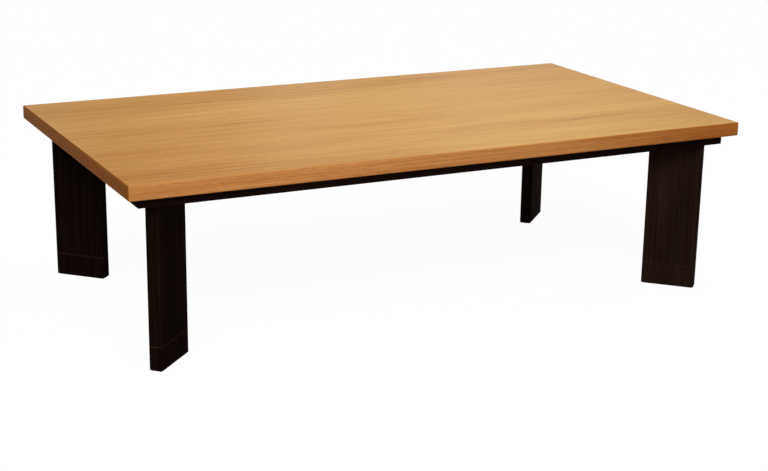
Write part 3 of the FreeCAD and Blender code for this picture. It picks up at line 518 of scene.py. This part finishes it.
def turned(points, degrees):
    """Points turned about the table's upright middle line."""
    angle = math.radians(degrees)
    spin = np.array([[math.cos(angle), -math.sin(angle), 0],
                     [math.sin(angle), math.cos(angle), 0],
                     [0, 0, 1]])
    return points @ spin.T


for side, length, across, degrees, edge_finish in (
        ("front", PLATE_LENGTH, PLATE_DEPTH, 0, oak_front),
        ("right", PLATE_DEPTH, PLATE_LENGTH, 90, oak_edges["y"]),
        ("back", PLATE_LENGTH, PLATE_DEPTH, 180, oak_edges["x"]),
        ("left", PLATE_DEPTH, PLATE_LENGTH, 270, oak_edges["y"])):
    strip = stand_in(f"lipping_{side}", [turned(strip_points(length, across), degrees)], oak_veneer,
                     f"edge_lipping_{side}")
    strip.data.materials.append(edge_finish)
    normals = np.empty(len(strip.data.polygons) * 3)
    strip.data.polygons.foreach_get("normal", normals)
    sideways = (normals.reshape(-1, 3)[:, 2] < UPWARD).astype(np.int32)
    strip.data.polygons.foreach_set("material_index", sideways)

eased("top_panel", oak_veneer)
print("plate", round(PLATE_LENGTH, 3), "x", round(PLATE_DEPTH, 3), "m, strips", round(STRIP_WIDTH / MM), "mm")

# %% [markdown]
# The frame and the legs are boards. On real furniture no edge is left knife-sharp: a sanding block takes
# about a millimetre off each, and that thin line of light is what tells the eye where one face ends. The
# shapes are already right, recesses and bores included, so each keeps them and only has its edges eased.

# %% Frame and legs
FRAME_GRAINS = {
    "long_rail": "x", "heater_bar": "x", "tie_bar": "x",
    "end_rail": "y", "cross_bar": "y",
}
FRAME_EASE_MM = 1.2
LEG_EASE_MM = 1.0
BLOCK_EASE_MM = 1.6
FELT_EASE_MM = 0.5
PIN_EASE_MM = 0.6
# finish and width of the eased edge, in millimetres
FRAME_FITTINGS = {
    "plate_discs": (felt, 0.3),
    "frame_dowels": (beech, 0.5),
    "leg_studs": (zinc, 0.5),
    "leg_nuts": (zinc, 0.4),
}
for node in sorted(frame["nodes"]):
    family = node.rsplit("_", 1)[0]
    if family in FRAME_GRAINS:
        eased(node, espresso[FRAME_GRAINS[family]], FRAME_EASE_MM)
for corner in CORNERS:
    eased(f"corner_block_{corner}", espresso["diagonal"], FRAME_EASE_MM)
    eased(f"leg_{corner}", espresso_leg_painted_light[corner], LEG_EASE_MM)
    eased(f"extension_{corner}", espresso_block_painted_light_and_wear[corner], BLOCK_EASE_MM)
    eased(f"foot_felt_{corner}", felt, FELT_EASE_MM)
    eased(f"extension_pins_{corner}", zinc, PIN_EASE_MM)
for node, (material, width_mm) in FRAME_FITTINGS.items():
    eased(node, material, width_mm)
print("frame and legs eased; the blocks are", round(BLOCK_TOP / MM), "mm high")

# %% [markdown]
# The heater is a painted steel pan with a moulded bezel and a welded wire guard under it. Its shapes come
# from the model; the finishes tell the materials apart, and small radii catch the light on every fold.
# The guard and the leads are round wire already, so they have no edge to ease.

# %% Heater case
# finish and width of the eased edge, in millimetres
HEATER_FINISHES = {
    "heater_housing": (black_paint, 0.4),
    "heater_bezel": (black_plastic, 1.0),
    "wire_guard": (black_enamel, 0),
    "reflector_front": (polished_aluminium, 0.15),
    "reflector_back": (polished_aluminium, 0.15),
    "quartz_tubes": (quartz, 0.3),
    "tube_holders": (steatite, 0.8),
    "motor_can": (drawn_steel, 0.8),
    "motor_stator": (drawn_steel, 0.4),
    "motor_rotor": (drawn_steel, 0.4),
    "motor_shaft": (drawn_steel, 0.3),
    "motor_bushes": (brass, 0.3),
    "thermostat": (fuse_case, 0.4),
    "thermal_fuse": (fuse_case, 0.2),
    "terminal_block": (pale_plastic, 0.8),
    "inlet_socket": (black_plastic, 0.6),
    "inlet_pins": (brass, 0.6),
    "internal_leads": (silicone, 0),
}
for node, (material, width_mm) in HEATER_FINISHES.items():
    eased(node, material, width_mm)
print("heater pieces finished:", len(HEATER_FINISHES))

# %% [markdown]
# A screw head is where a hand and a tool meet, so its recess is worth drawing. A pan head is a lathe
# shape, low and round; the recess is the same surface pushed in wherever a point lies inside a cross or a
# slot. The wood screws that hold the heater have a cross, the small screws in the terminal block a slot.

# %% Screws
SCREW_HEAD_RADIUS = 4 * MM
SCREW_HEAD_HEIGHT = 2.4 * MM
SCREW_SHANK_RADIUS = 2 * MM
CROSS = {"arms": 2, "half_width": 0.42 * MM, "reach": 2.2 * MM, "depth": 1.5 * MM}
SLOT = {"arms": 1, "half_width": 0.3 * MM, "reach": 3 * MM, "depth": 0.7 * MM}
# the terminal block's wells, and the clamp screws that fill them with this much room around
TERMINAL_PITCH = 14 * MM
WELL_RADIUS = 2 * MM
WELL_DEPTH = 6 * MM
CLAMP_ROOM = 0.15 * MM
CLAMP_HEAD_HEIGHT = 1.6 * MM
CLAMP_SHANK_RADIUS = 1.2 * MM
CLAMP_LENGTH = 4 * MM
CLAMP_SEAT = 1 * MM
# a head sinks by this share of its height from its middle to its rim, and starts this near its middle
DOME_SHARE = 0.35
MIDDLE_SHARE = 0.01
TIP_SHARE = 0.05
HEAD_ROWS = 22
RIM_ROWS = 2
SCREW_STEPS = 96
# how far the recess's walls and the ends of its arms slope
WALL_SLOPE = 0.12 * MM
END_SLOPE = 0.3 * MM


def screw_points(place, head_radius, head_height, shank_radius, length, recess):
    """A screw that hangs head down from `place`: P(s, a) = (r(s) cos a, r(s) sin a, z(s) + recess).

    The head's face is z = -height x (1 - dome share x (r / R)^4); inside an arm of the recess, where the
    distance across is under its half width and the distance from the middle under its reach, z rises by
    its depth. The shank is straight up to one diameter from its end and then runs to a point.
    """
    share = np.linspace(MIDDLE_SHARE, 1, HEAD_ROWS)
    face = np.stack([share * head_radius, -head_height * (1 - DOME_SHARE * share ** 4)], axis=-1)
    rest = np.array([[head_radius, 0], [shank_radius, 0], [shank_radius, length - 2 * shank_radius],
                     [TIP_SHARE * shank_radius, length]])
    profile = np.concatenate([face, rest])
    angle = np.linspace(0, 2 * math.pi, SCREW_STEPS, endpoint=False)
    x = profile[:, :1] * np.cos(angle)
    y = profile[:, :1] * np.sin(angle)
    z = profile[:, 1:] + 0 * x
    across = np.minimum(np.abs(x), np.abs(y)) if recess["arms"] == 2 else np.abs(y)
    along = np.maximum(np.abs(x), np.abs(y))
    edge = np.clip((recess["half_width"] - across) / WALL_SLOPE + 0.5, 0, 1)
    end = np.clip((recess["reach"] - along) / END_SLOPE + 0.5, 0, 1)
    on_face = (np.arange(len(profile)) < HEAD_ROWS - RIM_ROWS)[:, None]
    z = z + recess["depth"] * edge * end * on_face
    return np.stack([x, y, z], axis=-1) + np.array(place)


low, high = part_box("heater_screws")
seat = low.z + SCREW_HEAD_HEIGHT
reach_x = high.x - SCREW_HEAD_RADIUS
reach_y = high.y - SCREW_HEAD_RADIUS
wood_screws = [screw_points((end * reach_x, side * reach_y, seat), SCREW_HEAD_RADIUS, SCREW_HEAD_HEIGHT,
                            SCREW_SHANK_RADIUS, high.z - seat, CROSS) for end in (-1, 1) for side in (-1, 1)]
stand_in("heater_screws_pan_head", wood_screws, zinc, "heater_screws")
low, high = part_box("terminal_block")
clamp_screws = [screw_points(((low.x + high.x) / 2, step * TERMINAL_PITCH, low.z + WELL_DEPTH - CLAMP_SEAT),
                             WELL_RADIUS - CLAMP_ROOM, CLAMP_HEAD_HEIGHT, CLAMP_SHANK_RADIUS, CLAMP_LENGTH,
                             SLOT)
                for step in (-1, 0, 1)]
new_piece("terminal_clamp_screws", clamp_screws, brass, "terminal_block")
print("screws:", len(wood_screws) + len(clamp_screws))

# %% [markdown]
# Inside each quartz tube lies a coil of resistance wire, the part that glows. A coil is a small circle
# carried along a helix: the helix gives the centre of every ring, and the ring is drawn in the plane of
# the outward radius and the direction square to both radius and wire.

# %% Heating coils
COIL_PITCH = 3.4 * MM
WIRE_RADIUS = 0.45 * MM
RINGS_PER_TURN = 18
RING_POINTS = 7


def helix_tube(start, length, radius):
    """Points P(t, a) = C(t) + wire radius x (cos a N + sin a B) for a helix C along X."""
    turns = length / COIL_PITCH
    t = np.linspace(0, 1, int(turns * RINGS_PER_TURN))[:, None]
    angle = 2 * math.pi * turns * t
    normal = np.concatenate([np.zeros_like(t), np.cos(angle), np.sin(angle)], axis=1)
    along = np.concatenate([np.ones_like(t), np.zeros_like(t), np.zeros_like(t)], axis=1)
    circle = np.concatenate([np.zeros_like(t), -np.sin(angle), np.cos(angle)], axis=1)
    tangent = along * length + circle * (2 * math.pi * turns * radius)
    tangent /= np.linalg.norm(tangent, axis=1, keepdims=True)
    binormal = np.cross(tangent, normal)
    centre = np.array(start) + along * (t * length) + normal * radius
    around = np.linspace(0, 2 * math.pi, RING_POINTS, endpoint=False)[None, :, None]
    ring = np.cos(around) * normal[:, None] + np.sin(around) * binormal[:, None]
    return centre[:, None] + WIRE_RADIUS * ring


coil_low, coil_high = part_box("heating_coils")
coil_length = coil_high.x - coil_low.x
outer_radius = (coil_high.z - coil_low.z) / 2
coil_y = coil_high.y - outer_radius
coil_z = coil_low.z + outer_radius
coils = [helix_tube((coil_low.x, side * coil_y, coil_z), coil_length, outer_radius - WIRE_RADIUS)
         for side in (-1, 1)]
stand_in("heating_coil_wires", coils, heating_wire, "heating_coils")
print("coils:", round(coil_length / COIL_PITCH), "turns each")

# %% [markdown]
# The fan wheel is moulded in one piece. Flat plates would stir the air; a real blade is thin, a little
# hollow, and twisted, steeper near the hub where it moves slowly. Its section is a flattened ellipse laid
# on a shallow arc, and each section along the blade is turned by its own angle.

# %% Fan wheel
BLADES = 6
BLADE_CHORD = 17 * MM
BLADE_THICKNESS = 1.3 * MM
BLADE_CAMBER = 1.6 * MM
BLADE_ROWS = 12
SECTION_POINTS = 20
ROOT_TWIST = math.radians(38)
TIP_TWIST = math.radians(24)
# a blade starts inside the hub, at this share of its radius, and its ends have this share of its chord
ROOT_SHARE = 0.7
END_CHORD_SHARE = 0.85
HUB_RADIUS = 9 * MM
HUB_STEPS = 48
# the hub's profile from below, as shares of its radius and height: a flat face, a rounded rim and its side
HUB_PROFILE_SHARES = [(0.3, 0.0), (0.82, 0.0), (0.96, 0.06), (1.0, 0.16),
                      (1.0, 0.84), (0.96, 0.94), (0.82, 1.0), (0.3, 1.0)]
fan_low, fan_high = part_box("fan_wheel")
fan_height = fan_high.z - fan_low.z


def blade_points(degrees):
    """P(u, v): radius grows with u; (chord cos v, thickness sin v + camber sin2 v) is turned by the twist.

    The middle line stays on its radius: a point that lies to the side of it reaches out less, by Pythagoras.
    """
    u = np.linspace(0, 1, BLADE_ROWS)[:, None]
    v = np.linspace(0, 2 * math.pi, SECTION_POINTS, endpoint=False)[None, :]
    root = HUB_RADIUS * ROOT_SHARE
    radius = root + (fan_high.x - root) * u
    chord = BLADE_CHORD / 2 * np.cos(v) * (END_CHORD_SHARE + (1 - END_CHORD_SHARE) * np.sin(math.pi * u))
    depth = BLADE_THICKNESS / 2 * np.sin(v) + BLADE_CAMBER * (np.sin(v) ** 2 - 0.5)
    twist = ROOT_TWIST + (TIP_TWIST - ROOT_TWIST) * u
    side = chord * np.cos(twist) - depth * np.sin(twist)
    rise = chord * np.sin(twist) + depth * np.cos(twist)
    reach = np.sqrt(np.maximum(radius ** 2 - side ** 2, (radius / 2) ** 2))
    return turned(np.stack([reach, side, fan_low.z + fan_height / 2 + rise], axis=-1), degrees)


def hub_points():
    """P(s, a) = (r(s) cos a, r(s) sin a, z(s)): the hub's profile spun about the shaft."""
    profile = np.array(HUB_PROFILE_SHARES)
    spin = np.linspace(0, 2 * math.pi, HUB_STEPS, endpoint=False)
    radius = profile[:, 0, None] * HUB_RADIUS
    height = fan_low.z + profile[:, 1, None] * fan_height
    return np.stack([radius * np.cos(spin), radius * np.sin(spin), height + 0 * spin], axis=-1)


fan_grids = [hub_points()] + [blade_points(360 * index / BLADES) for index in range(BLADES)]
stand_in("fan_wheel_moulded", fan_grids, black_plastic, "fan_wheel")
print("fan wheel:", BLADES, "blades,", round(2 * fan_high.x / MM), "mm across")

# %% [markdown]
# The picture was taken on white. A real white sweep does that with paper and light; here the floor is
# pale paint that takes the table's shadow, and what the camera sees of it is mixed most of the way to
# white, which adds no light to the table. Mirror and glass rays get the same white, so metal shows it.
# Seen from below the floor is clear, so that the underside with its heater can be looked at too. A white
# room is not white all round, though: what the lacquer mirrors of it has windows, dark posts between them
# and a duller wall, and they give the plate its faint upright bands.

# %% Floor and world
FLOOR_SIZE = 60.0
FLOOR_PAINT = "#C4C4C4"
WHITE = "#FFFFFF"
# a little over 1, to make up for the share of paint in the mixture
FLOOR_WHITE = 1.12
FLOOR_WHITE_SHARE = 0.86
WORLD_LIGHT = 0.14
# how bright the room is towards each bearing, in degrees from +X towards +Y, as the lacquer mirrors it
ROOM = [(-180, 1.0), (-97, 1.0), (-96, 0.3), (-92, 0.3), (-91, 1.0), (48, 0.55), (53, 0.6), (57, 0.85),
        (61, 1.0), (62.5, 1.0), (62.9, 0.3), (64.5, 0.3), (64.9, 1.0), (68, 1.0), (69, 0.3), (70.3, 0.3),
        (70.8, 0.5), (71.8, 0.5), (72.2, 0.1), (74, 0.1), (74.6, 0.5), (78, 0.6), (90, 1.0), (180, 1.0)]


def add_background_rays(tree):
    """1 for the rays that see the background: straight from the camera, off a mirror or through glass."""
    rays = add(tree, "ShaderNodeLightPath")
    direct = add(tree, "ShaderNodeMath", {0: rays.outputs["Is Camera Ray"],
                                          1: rays.outputs["Is Glossy Ray"]}, operation="MAXIMUM")
    return add(tree, "ShaderNodeMath", {0: direct.outputs["Value"], 1: rays.outputs["Is Transmission Ray"]},
               operation="MAXIMUM").outputs["Value"]


half = FLOOR_SIZE / 2
floor_mesh = bpy.data.meshes.new("floor")
floor_corners = [(-half, -half, 0), (half, -half, 0), (half, half, 0), (-half, half, 0)]
floor_mesh.from_pydata(floor_corners, [], [(0, 1, 2, 3)])
floor = bpy.data.objects.new("floor", floor_mesh)
scene.collection.objects.link(floor)
floor_paint = bpy.data.materials.new("pale_floor_paint")
floor_paint.use_nodes = True
tree = floor_paint.node_tree
tree.nodes.clear()
matt = add(tree, "ShaderNodeBsdfDiffuse", {"Color": linear(FLOOR_PAINT)})
white = add(tree, "ShaderNodeEmission", {"Color": linear(WHITE), "Strength": FLOOR_WHITE})
share = add(tree, "ShaderNodeMath", {0: add_background_rays(tree), 1: FLOOR_WHITE_SHARE},
            operation="MULTIPLY")
mixed = add(tree, "ShaderNodeMixShader", {0: share.outputs["Value"], 1: matt.outputs["BSDF"],
                                          2: white.outputs["Emission"]})
face = add(tree, "ShaderNodeNewGeometry")
clear = add(tree, "ShaderNodeBsdfTransparent")
one_sided = add(tree, "ShaderNodeMixShader", {0: face.outputs["Backfacing"], 1: mixed.outputs["Shader"],
                                              2: clear.outputs["BSDF"]})
add(tree, "ShaderNodeOutputMaterial", {"Surface": one_sided.outputs["Shader"]})
floor_mesh.materials.append(floor_paint)

world = bpy.data.worlds.new("white_room")
scene.world = world
world.use_nodes = True
tree = world.node_tree
tree.nodes.clear()
stops = [((bearing + 180) / 360, (strength, strength, strength, 1.0)) for bearing, strength in ROOM]
toward = add(tree, "ShaderNodeTexCoord")
parts = add(tree, "ShaderNodeSeparateXYZ", {0: toward.outputs["Generated"]})
bearing = add(tree, "ShaderNodeMath", {0: parts.outputs["Y"], 1: parts.outputs["X"]}, operation="ARCTAN2")
round_room = add(tree, "ShaderNodeMapRange", {"Value": bearing.outputs["Value"], "From Min": -math.pi,
                                              "From Max": math.pi})
windows = add(tree, "ShaderNodeValToRGB", {"Fac": round_room.outputs["Result"]}, ramp=stops)
rays = add(tree, "ShaderNodeLightPath")
mirrored = add(tree, "ShaderNodeMix", {"Factor": rays.outputs["Is Glossy Ray"], "A": 1.0,
                                       "B": windows.outputs["Color"]})
room = add(tree, "ShaderNodeBackground", {"Color": linear(WHITE), "Strength": WORLD_LIGHT})
white = add(tree, "ShaderNodeBackground", {"Color": linear(WHITE), "Strength": mirrored.outputs["Result"]})
mixed = add(tree, "ShaderNodeMixShader", {0: add_background_rays(tree), 1: room.outputs["Background"],
                                          2: white.outputs["Background"]})
add(tree, "ShaderNodeOutputWorld", {"Surface": mixed.outputs["Shader"]})
print("floor", FLOOR_SIZE, "m wide; the room has", len(ROOM), "bearings")

# %% [markdown]
# Three soft lights do the rest. The key is a wide sun from the front, a little left and above: it reaches
# the whole floor evenly, makes the front edge bright and leaves the left end dark. A large lamp overhead
# to the right makes the plate grow lighter from left to right, as it does in the picture. A third lamp in
# front lifts the near edge and the near legs; it is kept out of mirror rays, because it would otherwise
# shine back from the lacquer as a bright patch when the table is seen from behind.

# %% Lights
KEY_AZIMUTH = math.radians(30)
KEY_HEIGHT = math.radians(40)
KEY_SPREAD = math.radians(28)
KEY_DISTANCE = 5
KEY_STRENGTH = 1.65
OVERHEAD_SIZE = 0.9
OVERHEAD_WATTS = 6.3
OVERHEAD_PLACE = Vector((0.25, 0, 1.475))
# a hair off straight down, which settles how the lamp is turned
OVERHEAD_AIM = Vector((0.25, 0.001, 0))
FRONT_SIZE = 0.7
FRONT_WATTS = 5.6
FRONT_PLACE = Vector((-0.55, -1.65, 0.9))
FRONT_AIM = Vector((-0.4, 0, 0.35))


def hang(lamp, place, aim):
    """The lamp at a place, turned so that it shines at the point that it is aimed at."""
    holder = bpy.data.objects.new(lamp.name, lamp)
    scene.collection.objects.link(holder)
    turn = (aim - place).to_track_quat("-Z", "Y")
    holder.matrix_world = Matrix.Translation(place) @ turn.to_matrix().to_4x4()
    return holder


key = bpy.data.lights.new("key", "SUN")
key.angle = KEY_SPREAD
key.energy = KEY_STRENGTH
toward_key = Vector((-math.sin(KEY_AZIMUTH) * math.cos(KEY_HEIGHT),
                     -math.cos(KEY_AZIMUTH) * math.cos(KEY_HEIGHT),
                     math.sin(KEY_HEIGHT)))
hang(key, KEY_DISTANCE * toward_key, Vector())
overhead = bpy.data.lights.new("overhead", "AREA")
overhead.size = OVERHEAD_SIZE
overhead.energy = OVERHEAD_WATTS
hang(overhead, OVERHEAD_PLACE, OVERHEAD_AIM)
front = bpy.data.lights.new("front", "AREA")
front.size = FRONT_SIZE
front.energy = FRONT_WATTS
hang(front, FRONT_PLACE, FRONT_AIM).visible_glossy = False

scene.view_settings.view_transform = "Standard"
print("lights:", ", ".join(lamp.name for lamp in (key, overhead, front)))
